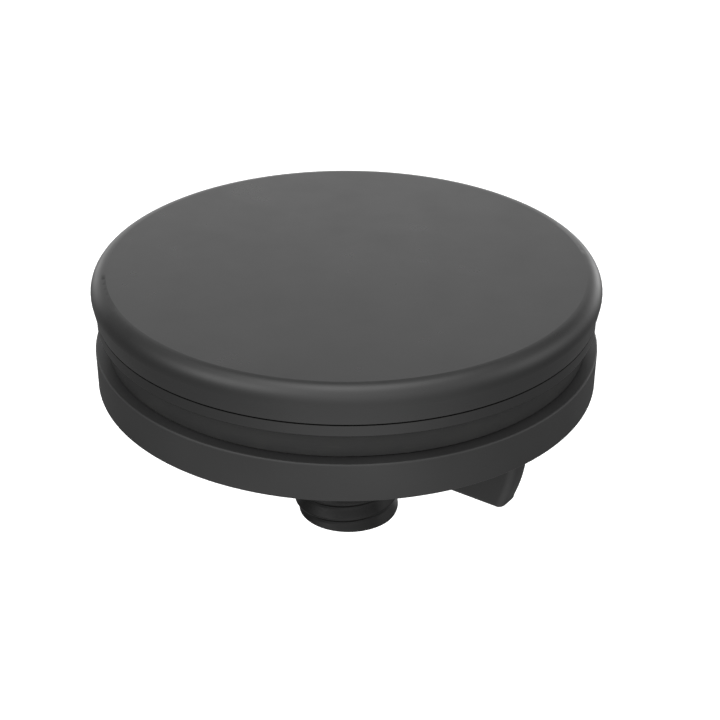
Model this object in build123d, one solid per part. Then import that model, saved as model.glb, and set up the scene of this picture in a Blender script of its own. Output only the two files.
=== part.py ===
from build123d import *
from math import cos, radians, sin
import os

# A blanking cover for a round cable hole in a desk. The cover stands on the desk top and a stud
# hangs from it through the hole. A clamp plate under the desk top is pulled up by a wing nut.
# Z = 0 is the desk surface, +Z points up, and the Z axis is the axis of the stud.
# All sizes are in millimetres. The clamp is drawn closed, with its plate against the gasket.

# Driving dimensions
cover_radius = 44.15
cover_height = 13.35
plate_radius = 44.0
desk_hole_radius = 38.1
stud_radius = 9.6
stud_end = -36.2
thread_pitch = 3.2
wall = 2.0

# Cover
rim_round = 2.75
cover_wall_lean = 11.5
seam_height = 6.77
seam_gap = 0.3
cover_foot = seam_height + seam_gap / 2
cover_ceiling = cover_height - wall - 0.2
cover_inner_radius = 41.2
cover_rib_count = 8
cover_rib_width = 1.6
cover_rib_drop = 1.6

# Base plate
base_radius = 43.38
base_bottom = 4.6
base_top = seam_height - seam_gap / 2
upstand_radius = cover_inner_radius - 0.3
upstand_height = 2.8
pocket_wall_radius = 15.5
pocket_height = 3.6
base_rib_count = 8
base_rib_width = 1.8
base_rib_end = 0.6
stud_clearance = 0.3

# Centring ring, which stands in the desk hole and clips into the base plate
ring_radius = desk_hole_radius - 0.4
ring_inner_radius = ring_radius - wall
ring_neck_radius = ring_radius - 0.4
ring_end = -4.0
ring_lead_in = 0.5
clip_count = 4
clip_width = 8.0
clip_height = 1.6
clip_catch = 0.8
clip_clearance = 0.2

# Screws that hold the cover to the base plate
screw_count = 4
screw_circle_radius = 28.0
screw_core_radius = 1.15
screw_thread_radius = 1.5
screw_pitch = 1.3
screw_length = 5.4
screw_head_radius = 2.9
screw_head_height = 1.7
screw_hole_radius = 1.8
pilot_radius = 1.2
boss_radius = 3.4

# Gasket
gasket_radius = 41.76
gasket_inner_radius = ring_neck_radius + 0.2

# Stud
head_across_flats = 22.0
head_height = 4.0
head_clearance = 0.15
neck_radius = stud_radius + 0.15
neck_end = -1.6

# Thread of the stud: a crest with a steep face under it and a long sloping face above it
thread_depth = 1.05
crest_land = 0.15
root_land = 0.45
steep_face = 0.95
long_face = thread_pitch - crest_land - root_land - steep_face
# Height of the crest where it crosses the +X side of the stud, one of its turns
crest_phase = -32.6

# Clamp plate
plate_bottom = -6.9
plate_bottom_radius = plate_radius - 0.1
plate_groove_inner = ring_inner_radius - 0.6
plate_groove_outer = desk_hole_radius + 1.5
plate_groove_floor = ring_end - 0.4
plate_hole_radius = stud_radius + 0.6
plate_seat = -5.6
plate_seat_radius = 16.4
plate_hub_radius = 18.4
plate_rib_count = 12
plate_rib_width = 1.8
plate_rib_end = plate_bottom + 0.4

# Thrust washer
washer_radius = 16.0
washer_height = 1.0

# Wing nut
nut_top = plate_seat - washer_height
nut_flange_radius = 15.6
nut_flange_height = 2.4
nut_hub_radius = 12.6
nut_bottom = -21.5
thread_gap = 0.12
flank_gap = 0.15
wing_angle = -35.3
wing_width = 5.1
wing_top = -8.0
wing_bottom = -23.4
wing_top_radius = 36.6
wing_bottom_radius = 34.7
wing_end_bulge = 0.75
wing_corner = 2.0
wing_edge_round = 1.5


def turned(outline, rounds=()):
    """Spin a closed outline of (radius, height) points about the Z axis.

    Each item in rounds is a corner of the outline and its radius.
    """
    face = make_face(Polyline(*outline, close=True))
    for corner, radius in rounds:
        vertex = face.vertices().sort_by_distance(corner)[0]
        face = fillet(vertex, radius)
    return revolve(Plane.XZ * face, Axis.Z)


def ring(inner, outer, bottom, top):
    """A plain ring between two radii and two heights."""
    return turned([(inner, bottom), (outer, bottom), (outer, top), (inner, top)])


def radial_ribs(count, width, inner, outer, bottom, top, first_angle=0.0):
    """Straight ribs that run outwards from the axis, evenly spaced."""
    middle = ((inner + outer) / 2, 0, (bottom + top) / 2)
    rib = Pos(*middle) * Box(outer - inner, width, top - bottom)
    return [Rot(0, 0, first_angle + 360 / count * turn) * rib for turn in range(count)]


def on_screw_circle(shape):
    """Copies of a shape at the places of the screws."""
    first = Pos(screw_circle_radius, 0, 0) * shape
    step = 360 / screw_count
    return [Rot(0, 0, step / 2 + step * turn) * first for turn in range(screw_count)]


def cover_wall_radius(height):
    """Radius of the straight part of the cover's wall, which touches the rim's round."""
    lean = radians(cover_wall_lean)
    below_centre = cover_height - rim_round - height
    return cover_radius - rim_round + (rim_round - sin(lean) * below_centre) / cos(lean)


def helical_bar(section, pitch, radius, bottom, height):
    """Sweep a closed outline of (radius, height) points up a right-handed helix.

    The outline's heights are measured from the helix, which starts on the +X side at bottom.
    """
    path = Helix(pitch, height, radius, center=(0, 0, bottom))
    points = [(across, bottom + up) for across, up in section]
    face = Plane.XZ * make_face(Polyline(*points, close=True))
    return sweep(face, path, is_frenet=True)


def crest_start(turns_down):
    """Height of the thread's crest on the +X side, so many whole turns below its phase."""
    return crest_phase - thread_pitch * turns_down


def make_cover_cap():
    """The visible shell: a flat top, a rounded rim and a wall that leans in towards the seam."""
    rim_corner = (cover_wall_radius(cover_height), cover_height)
    shell = turned(
        [
            (0, cover_height),
            rim_corner,
            (cover_wall_radius(cover_foot), cover_foot),
            (cover_inner_radius, cover_foot),
            (cover_inner_radius, cover_ceiling),
            (0, cover_ceiling),
        ],
        rounds=[(rim_corner, rim_round), ((cover_inner_radius, cover_ceiling), 1.0)],
    )
    head_top = base_top + head_height
    hold_down = ring(7.5, 9.5, head_top + 0.05, cover_ceiling + 0.1)
    ribs = radial_ribs(
        cover_rib_count,
        cover_rib_width,
        pocket_wall_radius + 1.0,
        cover_inner_radius - 0.5,
        cover_ceiling - cover_rib_drop,
        cover_ceiling + 0.1,
        first_angle=22.5,
    )
    boss = Pos(0, 0, base_top) * extrude(Circle(boss_radius), cover_ceiling + 0.1 - base_top)
    pilot = Pos(0, 0, base_top) * extrude(Circle(pilot_radius), 3.9)
    cap = shell + hold_down + ribs + on_screw_circle(boss)
    return cap - on_screw_circle(pilot)


def at_clips(shape):
    """Copies of a shape at the places of the centring ring's clips."""
    return [Rot(0, 0, 360 / clip_count * turn) * shape for turn in range(clip_count)]


def make_base_plate():
    """The carrier: a floor whose edge is the rim band, a hex pocket above and ribs below."""
    floor = turned(
        [(0, base_bottom), (base_radius, base_bottom), (base_radius, base_top), (0, base_top)],
        rounds=[((base_radius, base_bottom), 0.3)],
    )
    upstand = ring(upstand_radius - wall, upstand_radius, base_top - 0.1, base_top + upstand_height)
    pocket = ring(0, pocket_wall_radius, base_top - 0.1, base_top + pocket_height)
    hexagon = RegularPolygon(head_across_flats / 2 + head_clearance, 6, major_radius=False)
    hex_space = Pos(0, 0, base_top) * extrude(hexagon, pocket_height + 1)
    sleeve = ring(stud_radius, stud_radius + 3.5, base_rib_end, base_bottom + 0.1)
    ribs = radial_ribs(
        base_rib_count,
        base_rib_width,
        stud_radius + 2.5,
        ring_inner_radius - 0.4,
        base_rib_end,
        base_bottom + 0.1,
        first_angle=22.5,
    )
    stud_hole = Pos(0, 0, -10) * extrude(Circle(stud_radius + stud_clearance), 30)
    screw_hole = Pos(0, 0, base_bottom - 1) * extrude(Circle(screw_hole_radius), wall + 3)
    slot_inner = ring_inner_radius - clip_clearance
    slot_outer = ring_neck_radius + clip_catch + clip_clearance
    slot = Pos((slot_inner + slot_outer) / 2, 0, base_bottom) * Box(
        slot_outer - slot_inner, clip_width + 2 * clip_clearance, 2 * wall + 2
    )
    plate = floor + upstand + (pocket - hex_space) + sleeve + ribs
    return plate - stud_hole - on_screw_circle(screw_hole) - at_clips(slot)


def make_centring_ring():
    """The ring that centres the cover in the desk hole, with four clips that catch on the floor."""
    body = turned(
        [
            (ring_inner_radius, base_bottom),
            (ring_inner_radius, ring_end),
            (ring_radius - ring_lead_in, ring_end),
            (ring_radius, ring_end + ring_lead_in),
            (ring_radius, 0),
            (ring_neck_radius, 0),
            (ring_neck_radius, base_bottom),
        ]
    )
    catch_foot = base_top + 0.05
    clip_top = catch_foot + clip_height
    clip_outline = [
        (ring_inner_radius + 0.1, base_bottom - 1.0),
        (ring_neck_radius - 0.1, base_bottom - 1.0),
        (ring_neck_radius - 0.1, catch_foot),
        (ring_neck_radius + clip_catch, catch_foot),
        (ring_neck_radius + clip_catch, catch_foot + 0.4),
        (ring_neck_radius - 0.4, clip_top),
        (ring_inner_radius + 0.1, clip_top),
    ]
    clip_face = Plane.XZ * make_face(Polyline(*clip_outline, close=True))
    clip = extrude(clip_face, clip_width / 2, both=True)
    return body + at_clips(clip)


def make_cover_screws():
    """Pan-head self-tapping screws with a cross recess, driven upwards into the cover's bosses."""
    tip = base_bottom + screw_length
    core = turned(
        [
            (0, base_bottom - 0.1),
            (screw_core_radius, base_bottom - 0.1),
            (screw_core_radius, tip - 1.2),
            (0, tip),
        ]
    )
    head = turned(
        [
            (0, base_bottom),
            (screw_head_radius, base_bottom),
            (screw_head_radius, base_bottom - screw_head_height),
            (0, base_bottom - screw_head_height),
        ],
        rounds=[((screw_head_radius, base_bottom - screw_head_height), 0.9)],
    )
    slot = Pos(0, 0, base_bottom - screw_head_height) * Box(3.0, 0.6, 1.8)
    ridge_root = screw_core_radius - 0.1
    section = [
        (ridge_root, -0.3),
        (screw_thread_radius, -0.05),
        (screw_thread_radius, 0.05),
        (ridge_root, 0.3),
    ]
    ridge = helical_bar(section, screw_pitch, screw_core_radius, base_bottom + 0.6, 2.6 * screw_pitch)
    screw = core + head + ridge - slot - Rot(0, 0, 90) * slot
    return on_screw_circle(screw)


def make_gasket():
    """The rubber ring that the cover stands on."""
    return turned(
        [
            (gasket_inner_radius, 0),
            (gasket_radius, 0),
            (gasket_radius, base_bottom),
            (gasket_inner_radius, base_bottom),
        ],
        rounds=[((gasket_radius, 0), 0.25)],
    )


def make_threaded_stud():
    """The moulded stud: a hexagonal head, a plain neck and a coarse right-handed thread."""
    hexagon = RegularPolygon(head_across_flats / 2, 6, major_radius=False)
    head = Pos(0, 0, base_top) * extrude(hexagon, head_height)
    head = chamfer(head.faces().sort_by(Axis.Z)[-1].edges(), 0.6)
    neck = ring(0, neck_radius, neck_end, base_top + 0.1)
    root = stud_radius - thread_depth
    below_end = stud_end - thread_pitch
    core = ring(0, root, below_end, neck_end + 0.1)
    sunk = 0.12
    wider = 1 + sunk / thread_depth
    section = [
        (root - sunk, -crest_land / 2 - steep_face * wider),
        (stud_radius, -crest_land / 2),
        (stud_radius, crest_land / 2),
        (root - sunk, crest_land / 2 + long_face * wider),
    ]
    start = crest_start(2)
    ridge = helical_bar(section, thread_pitch, stud_radius, start, neck_end - start)
    # The core's seam is turned away from the ridge's ends, which lie on the +X side
    thread = Rot(0, 0, 90) * core + ridge
    cut_off = ring(0, stud_radius + 1, stud_end - 2 * thread_pitch, stud_end)
    return thread - cut_off + neck + head


def make_clamp_plate():
    """The lower disc: a rim that presses on the desk, a groove for the ring and a ribbed deck."""
    rim_top = (plate_radius, 0)
    rim_foot = (plate_bottom_radius, plate_bottom)
    body = turned(
        [
            (plate_hole_radius, 0),
            (plate_groove_inner, 0),
            (plate_groove_inner, plate_groove_floor),
            (plate_groove_outer, plate_groove_floor),
            (plate_groove_outer, 0),
            rim_top,
            rim_foot,
            (plate_groove_outer, plate_bottom),
            (plate_groove_outer, plate_rib_end),
            (plate_groove_inner - wall, plate_rib_end),
            (plate_groove_inner - wall, -wall),
            (plate_hub_radius, -wall),
            (plate_hub_radius, plate_rib_end),
            (plate_seat_radius, plate_rib_end),
            (plate_seat_radius, plate_seat),
            (plate_hole_radius, plate_seat),
        ],
        rounds=[(rim_top, 0.35), (rim_foot, 0.35)],
    )
    ribs = radial_ribs(
        plate_rib_count,
        plate_rib_width,
        plate_hub_radius - 0.5,
        plate_groove_inner - wall + 0.5,
        plate_rib_end,
        -wall + 0.1,
    )
    return body + ribs


def make_thrust_washer():
    """A flat washer that lets the nut turn without dragging the clamp plate round."""
    return ring(plate_hole_radius, washer_radius, nut_top, plate_seat)


def make_wing():
    """One flat wing of the nut, on the +X side, with a bulging end and rounded edges."""
    inner = nut_hub_radius - 1.5
    top_corner = (wing_top_radius, wing_top)
    bottom_corner = (wing_bottom_radius, wing_bottom)
    end_middle = (
        (wing_top_radius + wing_bottom_radius) / 2 + wing_end_bulge,
        (wing_top + wing_bottom) / 2,
    )
    outline = [
        Line((inner, wing_top), top_corner),
        ThreePointArc(top_corner, end_middle, bottom_corner),
        Polyline(bottom_corner, (inner, wing_bottom), (inner, wing_top)),
    ]
    face = make_face(outline)
    for corner in (top_corner, bottom_corner):
        face = fillet(face.vertices().sort_by_distance(corner)[0], wing_corner)
    blade = extrude(Plane.XZ * face, wing_width / 2, both=True)
    outer_edges = [
        edge
        for edge in blade.edges()
        if abs(abs(edge.center().Y) - wing_width / 2) < 0.01 and edge.center().X > nut_hub_radius
    ]
    return fillet(outer_edges, wing_edge_round)


def make_wing_nut():
    """The nut: a flanged hub with an internal thread and two wings."""
    bore = stud_radius + thread_gap
    hub = turned(
        [
            (bore, nut_top),
            (nut_flange_radius, nut_top),
            (nut_flange_radius, nut_top - nut_flange_height),
            (nut_hub_radius, nut_top - nut_flange_height - 1.5),
            (nut_hub_radius, nut_bottom),
            (bore, nut_bottom),
        ],
        rounds=[((nut_flange_radius, nut_top), 0.4), ((nut_hub_radius, nut_bottom), 1.0)],
    )
    wing = Rot(0, 0, wing_angle) * make_wing()
    opposite_wing = Rot(0, 0, 180) * wing
    bore_space = Pos(0, 0, wing_bottom - 1) * extrude(Circle(bore), nut_top - wing_bottom + 2)
    body = hub + wing + opposite_wing - bore_space
    return body + make_nut_thread(bore)


def make_nut_thread(bore):
    """The ridge inside the nut, which fills the stud's groove apart from the gaps."""
    root = stud_radius - thread_depth
    tip = root + thread_gap
    foot = bore + 0.05
    buried = bore + 0.5

    def above(radius):
        """Height of the groove's steep face over the middle of its floor, less the gap."""
        return root_land / 2 + steep_face * (radius - root) / thread_depth - flank_gap

    def below(radius):
        """Depth of the groove's long face under the middle of its floor, less the gap."""
        return root_land / 2 + long_face * (radius - root) / thread_depth - flank_gap

    section = [
        (tip, -below(tip)),
        (foot, -below(bore)),
        (buried, -below(bore)),
        (buried, above(bore)),
        (foot, above(bore)),
        (tip, above(tip)),
    ]
    crest_to_floor = crest_land / 2 + steep_face + root_land / 2
    turns_up = int((nut_bottom - crest_phase) / thread_pitch) + 2
    start = crest_start(-turns_up) - crest_to_floor
    full_turns = int((nut_top - start) / thread_pitch)
    return helical_bar(section, thread_pitch, stud_radius, start, full_turns * thread_pitch)


def solids_of(shape):
    """The separate solids of a shape, or of a list of shapes."""
    shapes = shape if isinstance(shape, list) else [shape]
    return [solid for item in shapes for solid in item.solids()]


nodes = {
    "cover_cap": make_cover_cap(),
    "base_plate": make_base_plate(),
    "centring_ring": make_centring_ring(),
    "cover_screws": make_cover_screws(),
    "gasket": make_gasket(),
    "threaded_stud": make_threaded_stud(),
    "clamp_plate": make_clamp_plate(),
    "thrust_washer": make_thrust_washer(),
    "wing_nut": make_wing_nut(),
}

os.makedirs("parts", exist_ok=True)
for name, shape in nodes.items():
    export_step(Compound(children=solids_of(shape)), f"parts/{name}.step")
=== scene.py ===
import bmesh
import bpy
from math import cos, floor, pi, radians, sin
from mathutils import Matrix, Vector


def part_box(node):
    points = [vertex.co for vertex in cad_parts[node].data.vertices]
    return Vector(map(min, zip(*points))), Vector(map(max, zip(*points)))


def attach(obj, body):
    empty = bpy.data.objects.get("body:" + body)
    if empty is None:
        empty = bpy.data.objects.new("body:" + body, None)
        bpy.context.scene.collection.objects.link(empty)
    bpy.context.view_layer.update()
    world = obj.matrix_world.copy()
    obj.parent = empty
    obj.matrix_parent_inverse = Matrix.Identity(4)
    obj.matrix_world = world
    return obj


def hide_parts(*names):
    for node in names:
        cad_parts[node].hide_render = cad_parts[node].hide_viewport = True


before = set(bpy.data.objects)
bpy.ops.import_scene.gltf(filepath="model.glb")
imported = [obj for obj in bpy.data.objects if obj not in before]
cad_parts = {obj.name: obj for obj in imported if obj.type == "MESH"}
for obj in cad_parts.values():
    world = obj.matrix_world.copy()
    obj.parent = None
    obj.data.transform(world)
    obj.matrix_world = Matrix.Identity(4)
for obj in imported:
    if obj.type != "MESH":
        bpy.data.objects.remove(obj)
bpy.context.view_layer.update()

MM = 0.001

# The camera is placed by the clamp plate's size, which comes from the frame. The plate's top lies at
# the height of the desk surface when the clamp is closed.
plate_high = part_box("clamp_plate")[1]
plate_radius = plate_high.x
desk_surface = plate_high.z


# ---------------------------------------------------------------- Node helpers

class NodeTree:
    """The node tree of a material or a world."""

    def __init__(self, owner):
        owner.use_nodes = True
        self.nodes = owner.node_tree.nodes
        self.links = owner.node_tree.links

    def link(self, source, target):
        self.links.new(source, target)

    def math(self, operation, first, second=None):
        """One sum: the second value may be a number, and some sums need only one value."""
        node = self.nodes.new("ShaderNodeMath")
        node.operation = operation
        self.link(first, node.inputs[0])
        if isinstance(second, (int, float)):
            node.inputs[1].default_value = second
        elif second:
            self.link(second, node.inputs[1])
        return node.outputs["Value"]


class Graph(NodeTree):
    """A material's node tree, with short calls for the nodes that the materials share."""

    def __init__(self, name):
        self.material = bpy.data.materials.new(name)
        super().__init__(self.material)
        self.shader = self.nodes["Principled BSDF"]
        self.place = self.nodes.new("ShaderNodeTexCoord").outputs["Object"]

    def stretched(self, scale):
        """The object's own coordinates, stretched by a scale for each axis."""
        mapping = self.nodes.new("ShaderNodeMapping")
        mapping.inputs["Scale"].default_value = scale
        self.link(self.place, mapping.inputs["Vector"])
        return mapping.outputs["Vector"]

    def noise(self, size, detail=3.0, rough=0.5, place=None):
        """Soft noise from 0 to 1, whose blotches are about as wide as size, in metres."""
        texture = self.nodes.new("ShaderNodeTexNoise")
        texture.inputs["Scale"].default_value = 1 / size
        texture.inputs["Detail"].default_value = detail
        texture.inputs["Roughness"].default_value = rough
        self.link(place or self.place, texture.inputs["Vector"])
        return texture.outputs["Fac"]

    def cells(self, size):
        """Distance to the nearest of many scattered points, about size apart, in metres."""
        texture = self.nodes.new("ShaderNodeTexVoronoi")
        texture.inputs["Scale"].default_value = 1 / size
        self.link(self.place, texture.inputs["Vector"])
        return texture.outputs["Distance"]

    def spread(self, value, low, high, out_low=0.0, out_high=1.0):
        """Maps a value from one range to another, and stops it at the ends."""
        node = self.nodes.new("ShaderNodeMapRange")
        node.inputs["From Min"].default_value = low
        node.inputs["From Max"].default_value = high
        node.inputs["To Min"].default_value = out_low
        node.inputs["To Max"].default_value = out_high
        self.link(value, node.inputs["Value"])
        return node.outputs["Result"]

    def blend(self, amount, first, second):
        """A colour between two, each of which is a colour or another node's output."""
        node = self.nodes.new("ShaderNodeMix")
        node.data_type = "RGBA"
        self.link(amount, node.inputs["Factor"])
        for socket, colour in (("A", first), ("B", second)):
            target = next(s for s in node.inputs if s.name == socket and s.type == "RGBA")
            if isinstance(colour, tuple):
                target.default_value = (*colour, 1)
            else:
                self.link(colour, target)
        return next(s for s in node.outputs if s.type == "RGBA")

    def edges(self, low, high):
        """1 on worn convex edges and 0 elsewhere."""
        pointiness = self.nodes.new("ShaderNodeNewGeometry").outputs["Pointiness"]
        return self.spread(pointiness, low, high)

    def bump(self, height, depth, below=None):
        """Adds a bump of a real depth, in metres, on top of another bump's normal."""
        node = self.nodes.new("ShaderNodeBump")
        node.inputs["Strength"].default_value = 1.0
        node.inputs["Distance"].default_value = depth
        self.link(height, node.inputs["Height"])
        if below:
            self.link(below, node.inputs["Normal"])
        return node.outputs["Normal"]

    def finish(self, colour, roughness, normal):
        self.link(colour, self.shader.inputs["Base Color"])
        self.link(roughness, self.shader.inputs["Roughness"])
        self.link(normal, self.shader.inputs["Normal"])
        return self.material


# ---------------------------------------------------------------- Materials

def moulded_plastic(name, tone, roughness, specular, grain):
    """Black ABS from a spark-eroded mould: fine grain, slow flow marks and faintly polished edges."""
    graph = Graph(name)
    graph.shader.inputs["IOR"].default_value = 1.5
    graph.shader.inputs["Specular IOR Level"].default_value = specular
    flow = graph.noise(22 * MM, detail=2)
    speck = graph.noise(0.35 * MM, detail=2)
    pits = graph.cells(grain)
    worn = graph.edges(0.53, 0.62)
    deep = tuple(part * 0.86 for part in tone)
    pale = tuple(part * 1.16 for part in tone)
    rubbed = tuple(part * 1.5 for part in tone)
    mottled = graph.blend(graph.spread(flow, 0.3, 0.7), deep, pale)
    dusty = graph.blend(graph.spread(speck, 0.62, 0.8, 0.0, 0.25), mottled, rubbed)
    colour = graph.blend(graph.math("MULTIPLY", worn, 0.35), dusty, rubbed)
    handled = graph.noise(9 * MM, detail=4, rough=0.6)
    sheen = graph.spread(handled, 0.3, 0.7, roughness - 0.03, roughness + 0.04)
    polished = graph.math("SUBTRACT", sheen, graph.math("MULTIPLY", worn, 0.06))
    waves = graph.bump(graph.noise(5 * MM, detail=1), 0.003 * MM)
    normal = graph.bump(pits, 0.001 * MM, below=waves)
    return graph.finish(colour, polished, normal)


def gasket_rubber():
    """Matt black rubber with a fine moulded grain and a faint pale bloom."""
    graph = Graph("gasket_rubber")
    graph.shader.inputs["IOR"].default_value = 1.5
    graph.shader.inputs["Specular IOR Level"].default_value = 0.3
    bloom = graph.noise(6 * MM, detail=5, rough=0.65)
    streaks = graph.noise(1.2 * MM, detail=3, place=graph.stretched((0.25, 0.25, 2.5)))
    base = graph.blend(graph.spread(bloom, 0.45, 0.75), (0.024, 0.024, 0.024), (0.029, 0.029, 0.028))
    colour = graph.blend(graph.spread(streaks, 0.55, 0.8, 0.0, 0.4), base, (0.036, 0.036, 0.035))
    roughness = graph.spread(bloom, 0.3, 0.7, 0.55, 0.72)
    soft = graph.bump(streaks, 0.012 * MM)
    normal = graph.bump(graph.noise(0.16 * MM, detail=3), 0.01 * MM, below=soft)
    return graph.finish(colour, roughness, normal)


def stud_plastic():
    """Near-black glass-filled nylon: glossier, with short fibre streaks round the thread."""
    graph = Graph("stud_plastic")
    graph.shader.inputs["IOR"].default_value = 1.53
    graph.shader.inputs["Specular IOR Level"].default_value = 0.22
    fibres = graph.noise(0.5 * MM, detail=4, rough=0.7, place=graph.stretched((0.7, 0.7, 2.4)))
    flow = graph.noise(4 * MM, detail=3)
    worn = graph.edges(0.53, 0.62)
    base = graph.blend(graph.spread(flow, 0.3, 0.7), (0.005, 0.005, 0.005), (0.008, 0.008, 0.008))
    streaked = graph.blend(graph.spread(fibres, 0.5, 0.75, 0.0, 0.5), base, (0.014, 0.014, 0.014))
    colour = graph.blend(graph.math("MULTIPLY", worn, 0.5), streaked, (0.02, 0.02, 0.02))
    roughness = graph.spread(fibres, 0.3, 0.7, 0.26, 0.42)
    waves = graph.bump(flow, 0.02 * MM)
    normal = graph.bump(fibres, 0.006 * MM, below=waves)
    return graph.finish(colour, roughness, normal)


def plated_steel():
    """Bright zinc plating on rolled steel: fine scratches, a mottled plate and darker stains."""
    graph = Graph("plated_steel")
    graph.shader.inputs["Metallic"].default_value = 1.0
    scratches = graph.noise(0.25 * MM, detail=5, rough=0.7, place=graph.stretched((4.0, 0.3, 1.0)))
    spangle = graph.cells(1.4 * MM)
    stains = graph.noise(7 * MM, detail=4)
    plate = graph.blend(graph.spread(spangle, 0.1, 0.7), (0.60, 0.61, 0.63), (0.50, 0.51, 0.54))
    colour = graph.blend(graph.spread(stains, 0.55, 0.8, 0.0, 0.6), plate, (0.42, 0.40, 0.36))
    roughness = graph.spread(scratches, 0.3, 0.7, 0.22, 0.45)
    normal = graph.bump(scratches, 0.004 * MM)
    return graph.finish(colour, roughness, normal)


def paper_floor():
    """Plain white studio paper with a barely visible fibre."""
    graph = Graph("studio_paper")
    graph.shader.inputs["Emission Color"].default_value = (1, 1, 1, 1)
    graph.shader.inputs["Emission Strength"].default_value = 0.3
    fibre = graph.noise(3 * MM, detail=4)
    colour = graph.blend(fibre, (0.86, 0.86, 0.86), (0.90, 0.90, 0.90))
    roughness = graph.spread(fibre, 0.3, 0.7, 0.8, 0.95)
    normal = graph.bump(fibre, 0.02 * MM)
    return graph.finish(colour, roughness, normal)


def paint(material, *nodes):
    """Gives every slot of some CAD nodes one material."""
    for node in nodes:
        for material_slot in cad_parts[node].material_slots:
            material_slot.material = material


cover_plastic = moulded_plastic("cover_plastic", (0.012, 0.012, 0.012), 0.30, 0.5, 0.18 * MM)
# The clamp plate and the wing nut get the cover's black plastic with a lighter tone: painted light that
# brightens the shaded ledge on the plate's top, under the gasket.
clamp_plastic = moulded_plastic("clamp_plastic", (0.026, 0.026, 0.026), 0.42, 0.34, 0.22 * MM)
rubber = gasket_rubber()
nylon = stud_plastic()
steel = plated_steel()
paint(cover_plastic, "cover_cap", "base_plate")
paint(clamp_plastic, "clamp_plate", "centring_ring", "wing_nut")
paint(rubber, "gasket")
paint(nylon, "threaded_stud")
paint(steel, "cover_screws", "thrust_washer")


# ---------------------------------------------------------------- Stud

# The sizes of the CAD stud, which this finer one replaces
stud_low, stud_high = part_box("threaded_stud")
stud_end = stud_low.z
head_top = stud_high.z
head_half = stud_high.y
head_foot = head_top - 4.0 * MM
stud_radius = 9.6 * MM
neck_radius = stud_radius + 0.15 * MM
neck_end = desk_surface - 1.6 * MM
thread_pitch = 3.2 * MM
thread_depth = 1.05 * MM
crest_land = 0.15 * MM
steep_face = 0.95 * MM
root_land = 0.45 * MM
long_face = thread_pitch - crest_land - steep_face - root_land
crest_phase = desk_surface - 32.6 * MM
end_round = 0.12 * MM
softness = 0.14 * MM
runout_length = 1.6 * MM
head_chamfer = 0.6 * MM
dimple_radius = 4.0 * MM
dimple_slope = 0.3 * MM
dimple_depth = 0.6 * MM
# The mark that the mould's gate leaves on the stud's end: a shallow dish round a low pip
dish_radius = 5.2 * MM
dish_slope = 0.2 * MM
dish_depth = 0.25 * MM
pip_radius = 1.5 * MM
pip_slope = 0.2 * MM
pip_sink = 0.05 * MM
columns = 120
# Edges that bend less than this are shaded smooth, and points closer than the next are joined
smooth_angle = radians(32)
weld_distance = 0.002 * MM


def sharp_thread_radius(height):
    """Radius of the thread before its corners are rounded, at a height above a crest's middle."""
    root_radius = stud_radius - thread_depth
    height = height % thread_pitch
    if height < crest_land / 2 or height > thread_pitch - crest_land / 2:
        return stud_radius
    if height < crest_land / 2 + long_face:
        return stud_radius - thread_depth * (height - crest_land / 2) / long_face
    below_steep = height - crest_land / 2 - long_face - root_land
    return root_radius + thread_depth * max(0.0, below_steep) / steep_face


def thread_radius(height):
    """Radius of the thread with its crests and roots softly rounded, as a mould leaves them."""
    taps = range(-4, 5)
    total = sum(sharp_thread_radius(height + softness * tap / taps[-1]) for tap in taps)
    return total / len(taps)


def section_heights():
    """Heights over one pitch at which the thread has vertices: close together round its corners."""
    corners = (0.0, crest_land / 2 + long_face, crest_land / 2 + long_face + root_land)
    offsets = (-0.26, -0.17, -0.08, 0.0, 0.08, 0.17, 0.26)
    close = [(corner + offset * MM) % thread_pitch for corner in corners for offset in offsets]
    between = [crest_land / 2 + long_face * part for part in (0.33, 0.66)]
    between.append(thread_pitch - crest_land / 2 - steep_face / 2)
    return sorted(close + between)


def stud_column(turn):
    """Points up the thread at one place round the stud, given as a share of a whole turn."""
    lift = thread_pitch * turn
    first = floor((stud_end - crest_phase) / thread_pitch) - 2
    last = floor((neck_end - crest_phase) / thread_pitch) + 1
    points = []
    for whole in range(first, last):
        for height in section_heights():
            up = crest_phase + whole * thread_pitch + height + lift
            held = min(max(up, stud_end + end_round), neck_end)
            radius = thread_radius(held - crest_phase - lift)
            runout = min(1.0, max(0.0, (held - neck_end) / runout_length + 1.0))
            points.append((radius + (stud_radius - radius) * runout, held))
    return points


def round_axis(radius, turn, height):
    """A point at a radius and a height, and at a share of a whole turn round the axis."""
    return (radius * cos(2 * pi * turn), radius * sin(2 * pi * turn), height)


def add_ring(mesh, radius_at, height):
    """A ring of vertices round the axis, whose radius depends on the place round it."""
    ring = []
    for column in range(columns):
        turn = column / columns
        ring.append(mesh.verts.new(round_axis(radius_at(turn), turn, height)))
    return ring


def bridge(mesh, lower, upper):
    """Faces between two rings, or from a ring to a single vertex in its middle."""
    for column in range(columns):
        after = (column + 1) % columns
        if len(upper) == 1:
            mesh.faces.new((lower[column], lower[after], upper[0]))
        else:
            mesh.faces.new((lower[column], lower[after], upper[after], upper[column]))


def stack(mesh, ring, steps):
    """Carries a ring on through (radius function, height) steps and closes it in the middle."""
    for radius_at, height in steps:
        following = add_ring(mesh, radius_at, height)
        bridge(mesh, ring, following)
        ring = following
    bridge(mesh, ring, [mesh.verts.new((0, 0, steps[-1][1]))])


def level(radius):
    """A radius that is the same all round."""
    return lambda turn: radius


def hexagon(half, turn):
    """Distance from the middle of a hexagon to its edge, with two flats across Y."""
    from_flat = (turn * 6) % 1.0 - 0.5
    return half / cos(from_flat * pi / 3)


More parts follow.
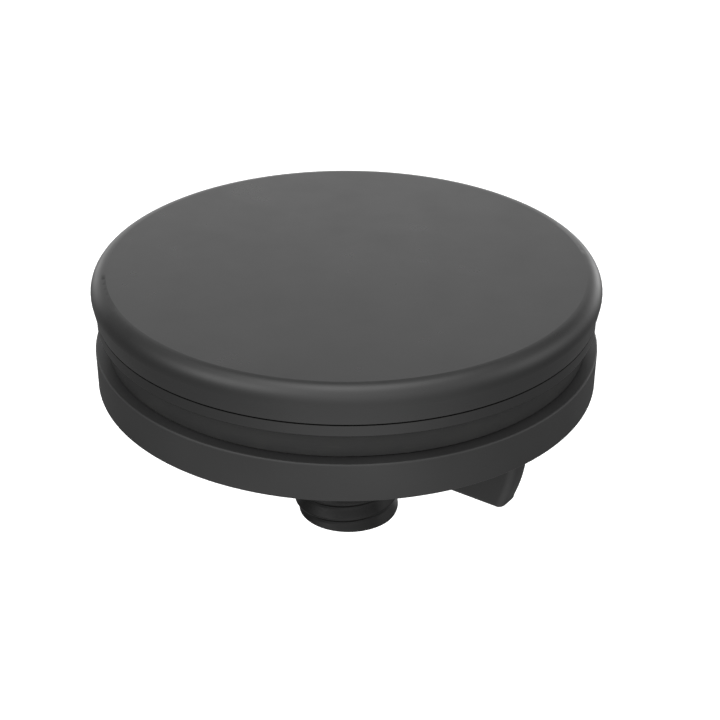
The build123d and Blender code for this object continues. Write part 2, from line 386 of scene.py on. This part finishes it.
def add_piece(name, mesh, node, body, material):
    """Makes a piece out of a mesh, in place of a CAD node."""
    bmesh.ops.remove_doubles(mesh, verts=mesh.verts, dist=weld_distance)
    bmesh.ops.recalc_face_normals(mesh, faces=mesh.faces)
    for edge in mesh.edges:
        edge.smooth = edge.calc_face_angle(0.0) < smooth_angle
    data = bpy.data.meshes.new(name)
    mesh.to_mesh(data)
    mesh.free()
    for face in data.polygons:
        face.use_smooth = True
    data.materials.append(material)
    piece = bpy.data.objects.new(name, data)
    bpy.context.scene.collection.objects.link(piece)
    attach(piece, body)
    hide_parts(node)


def make_stud():
    """The stud: a hexagonal head, a neck, the thread with rounded crests, and the end's gate mark."""
    mesh = bmesh.new()
    rows_in_pitch = len(section_heights())
    strip = []
    for column in range(columns):
        turn = column / columns
        points = stud_column(turn)
        strip.append(
            [mesh.verts.new(round_axis(radius, turn, height)) for radius, height in points]
        )
    rows = len(strip[0])
    for column in range(columns):
        wraps = column == columns - 1
        here = strip[column]
        beside = strip[0] if wraps else strip[column + 1]
        shift = rows_in_pitch if wraps else 0
        for row in range(rows - 1 - shift):
            corners = (here[row], beside[row + shift], beside[row + 1 + shift], here[row + 1])
            mesh.faces.new(corners)

    def end_radius(turn):
        return thread_radius(stud_end + end_round - crest_phase - thread_pitch * turn)

    foot = add_ring(mesh, end_radius, stud_end + end_round)
    stack(
        mesh,
        foot,
        [
            (lambda turn: end_radius(turn) - end_round / 4, stud_end + end_round / 3),
            (lambda turn: end_radius(turn) - end_round, stud_end),
            (level(dish_radius), stud_end),
            (level(dish_radius - dish_slope), stud_end + dish_depth),
            (level(pip_radius), stud_end + dish_depth),
            (level(pip_radius - pip_slope), stud_end + pip_sink),
            (level(pip_radius - 5 * pip_slope), stud_end + pip_sink),
        ],
    )
    shoulder = add_ring(mesh, level(stud_radius), neck_end)
    stack(
        mesh,
        shoulder,
        [
            (level(neck_radius), neck_end + neck_radius - stud_radius),
            (level(neck_radius), head_foot),
            (lambda turn: hexagon(head_half, turn), head_foot),
            (lambda turn: hexagon(head_half, turn), head_top - head_chamfer),
            (lambda turn: hexagon(head_half - head_chamfer, turn), head_top),
            (level(dimple_radius), head_top),
            (level(dimple_radius - dimple_slope), head_top - dimple_depth),
        ],
    )
    add_piece("stud", mesh, "threaded_stud", "cover", nylon)


make_stud()


# ---------------------------------------------------------------- Wing nut

# The sizes of the CAD nut, which this smoother one replaces
nut_low, nut_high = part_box("wing_nut")
nut_top = nut_high.z
wing_bottom = nut_low.z
flange_radius = 15.6 * MM
flange_foot = nut_top - 2.4 * MM
flange_lip = 0.4 * MM
hub_radius = 12.6 * MM
hub_top = flange_foot - 1.5 * MM
hub_bottom = desk_surface - 21.5 * MM
hub_bore = stud_radius + 0.12 * MM
hub_round = 1.0 * MM
wing_inner = hub_radius - 1.5 * MM
wing_turn = radians(-35.3)
wing_half = 2.55 * MM
wing_top = desk_surface - 8.0 * MM
wing_top_radius = 36.55 * MM
wing_bottom_radius = 34.65 * MM
wing_bulge = 0.75 * MM
wing_corner = 1.7 * MM
wing_edge = 1.5 * MM
corner_steps = 10
bulge_steps = 12
edge_steps = 6
lip_steps = 4


def arc(centre, radius, first, last, steps):
    """Points along an arc, whose angles are in degrees."""
    angles = [radians(first + (last - first) * step / steps) for step in range(steps + 1)]
    return [(centre[0] + radius * cos(angle), centre[1] + radius * sin(angle)) for angle in angles]


def wing_outline(inset):
    """The wing's outline in (radius, height), moved inwards by an amount on its free sides."""
    corner = wing_corner - inset
    bottom_centre = (wing_bottom_radius - wing_corner, wing_bottom + wing_corner)
    top_centre = (wing_top_radius - wing_corner, wing_top - wing_corner)
    points = [(wing_inner, wing_bottom + inset)]
    points += arc(bottom_centre, corner, -90, 0, corner_steps)
    rise = top_centre[1] - bottom_centre[1]
    for step in range(1, bulge_steps):
        part = step / bulge_steps
        straight = bottom_centre[0] + (top_centre[0] - bottom_centre[0]) * part + corner
        bulge = 4 * wing_bulge * part * (1 - part)
        points.append((straight + bulge, bottom_centre[1] + rise * part))
    points += arc(top_centre, corner, 0, 90, corner_steps)
    points.append((wing_inner, wing_top - inset))
    return points


def add_wing(mesh, turn):
    """One wing: its outline, carried across its width and drawn in round both its sides."""
    bend = [radians(90 * step / edge_steps) for step in range(edge_steps + 1)]
    across = [(-wing_half + wing_edge * (1 - sin(angle)), wing_edge * (1 - cos(angle))) for angle in bend]
    across = across[::-1] + [(-side, inset) for side, inset in across]
    rings = []
    for side, inset in across:
        ring = []
        for radius, height in wing_outline(inset):
            along = radius * cos(turn) - side * sin(turn)
            aside = radius * sin(turn) + side * cos(turn)
            ring.append(mesh.verts.new((along, aside, height)))
        rings.append(ring)
    for before, after in zip(rings, rings[1:]):
        for place in range(len(before)):
            following = (place + 1) % len(before)
            mesh.faces.new((before[place], before[following], after[following], after[place]))
    mesh.faces.new(rings[0])
    mesh.faces.new(rings[-1])


def wing_builder(turn):
    """A function that adds the wing at one angle to a mesh."""
    return lambda mesh: add_wing(mesh, turn)


def add_hub(mesh):
    """The hub, turned round the axis: a flange, a sloping shoulder and a rounded lower edge."""
    profile = [(hub_bore, hub_bottom)]
    profile += arc((hub_radius - hub_round, hub_bottom + hub_round), hub_round, -90, 0, edge_steps)
    profile += [(hub_radius, hub_top), (flange_radius, flange_foot)]
    profile += arc((flange_radius - flange_lip, nut_top - flange_lip), flange_lip, 0, 90, lip_steps)
    profile.append((hub_bore, nut_top))
    rings = [add_ring(mesh, level(radius), height) for radius, height in profile]
    for lower, upper in zip(rings, rings[1:] + rings[:1]):
        bridge(mesh, lower, upper)


def solid(name, build):
    """An object whose closed mesh is made by a function, for joining to another."""
    mesh = bmesh.new()
    build(mesh)
    bmesh.ops.remove_doubles(mesh, verts=mesh.verts, dist=weld_distance)
    bmesh.ops.recalc_face_normals(mesh, faces=mesh.faces)
    data = bpy.data.meshes.new(name)
    mesh.to_mesh(data)
    mesh.free()
    thing = bpy.data.objects.new(name, data)
    bpy.context.scene.collection.objects.link(thing)
    return thing


def make_wing_nut():
    """The wing nut: a hub with two wings that are joined to it."""
    hub = solid("nut_hub", add_hub)
    wings = [solid("nut_wing", wing_builder(turn)) for turn in (wing_turn, wing_turn + pi)]
    for wing in wings:
        join = hub.modifiers.new("join", "BOOLEAN")
        join.operation = "UNION"
        join.solver = "EXACT"
        join.object = wing
    joined = bmesh.new()
    joined.from_mesh(hub.evaluated_get(bpy.context.evaluated_depsgraph_get()).to_mesh())
    for thing in [hub, *wings]:
        bpy.data.objects.remove(thing)
    add_piece("nut", joined, "wing_nut", "nut", clamp_plastic)


make_wing_nut()


# ---------------------------------------------------------------- Camera

# The camera looks down at the cover from the front, and is turned a little to its own right.
camera_elevation = radians(25.66)
camera_distance = 6.955 * plate_radius
camera_depression = radians(28.71)
camera_pan = radians(0.49)
camera_roll = radians(0.286)
# The point that the elevation and the distance are measured from, on the cover's axis
camera_pivot = Vector((0, 0, desk_surface + 0.296 * plate_radius))

camera_data = bpy.data.cameras.new("camera")
camera_data.lens = 88.27
camera_data.sensor_width = 36
camera = bpy.data.objects.new("camera", camera_data)
bpy.context.scene.collection.objects.link(camera)
camera.location = camera_pivot + camera_distance * Vector((0, -cos(camera_elevation), sin(camera_elevation)))
camera_turn = Matrix.Rotation(-camera_pan, 3, "Z") @ Matrix.Rotation(pi / 2 - camera_depression, 3, "X")
camera.rotation_euler = (camera_turn @ Matrix.Rotation(camera_roll, 3, "Z")).to_euler()
bpy.context.scene.camera = camera


# ---------------------------------------------------------------- Studio

floor_size = 8.0
floor_depth = 0.25


def floor_sheet(size, height):
    """The studio floor: one large square of paper."""
    half = size / 2
    mesh = bpy.data.meshes.new("studio_floor")
    corners = [(-half, -half, height), (half, -half, height), (half, half, height), (-half, half, height)]
    mesh.from_pydata(corners, [], [(0, 1, 2, 3)])
    mesh.materials.append(paper_floor())
    sheet = bpy.data.objects.new("studio_floor", mesh)
    bpy.context.scene.collection.objects.link(sheet)
    # The object is lit by the studio lights alone, and the paper glows a little so that it is white
    sheet.visible_glossy = False
    sheet.visible_diffuse = False


# The studio's soft lights, all far away and white: azimuth from +X and elevation in degrees, how
# sharply the light fades away from its middle, and its strength
studio_lights = {
    "ceiling": (0, 90, 14.0, 2.4),
    "ceiling_back": (120, 75, 14.0, 0.4),
    "back_wall": (90, 15, 14.0, 1.0),
    "back_left": (120, 5, 30.0, 1.2),
    "back_right": (60, 5, 30.0, 0.5),
    "window": (58, 2, 40.0, 1.7),
    "front_fill": (270, 40, 2.5, 1.5),
    "right_panel": (0, 25, 14.0, 1.1),
    "right_back": (30, 10, 20.0, 0.3),
    "left_panel": (210, 40, 14.0, 2.1),
    "table_bounce": (270, -50, 3.0, 0.85),
}
room_light = 0.12


def studio_world():
    """White to the camera, and to the object a dim room with a soft glow for each studio light."""
    world = bpy.data.worlds.new("studio")
    graph = NodeTree(world)
    unit = graph.nodes.new("ShaderNodeVectorMath")
    unit.operation = "NORMALIZE"
    graph.link(graph.nodes.new("ShaderNodeTexCoord").outputs["Generated"], unit.inputs[0])
    total = graph.nodes.new("ShaderNodeValue").outputs["Value"]
    total.default_value = room_light
    for azimuth, elevation, sharpness, strength in studio_lights.values():
        around = radians(azimuth)
        up = radians(elevation)
        facing = graph.nodes.new("ShaderNodeVectorMath")
        facing.operation = "DOT_PRODUCT"
        graph.link(unit.outputs["Vector"], facing.inputs[0])
        facing.inputs[1].default_value = (cos(up) * cos(around), cos(up) * sin(around), sin(up))
        away = graph.math("SUBTRACT", facing.outputs["Value"], 1.0)
        fade = graph.math("EXPONENT", graph.math("MULTIPLY", away, sharpness))
        total = graph.math("ADD", total, graph.math("MULTIPLY", fade, strength))
    to_camera = graph.nodes.new("ShaderNodeLightPath").outputs["Is Camera Ray"]
    background = graph.nodes["Background"]
    graph.link(graph.math("MAXIMUM", total, to_camera), background.inputs["Strength"])
    background.inputs["Color"].default_value = (1, 1, 1, 1)
    return world


floor_sheet(floor_size, desk_surface - floor_depth)
bpy.context.scene.world = studio_world()
bpy.context.scene.view_settings.view_transform = "Standard"
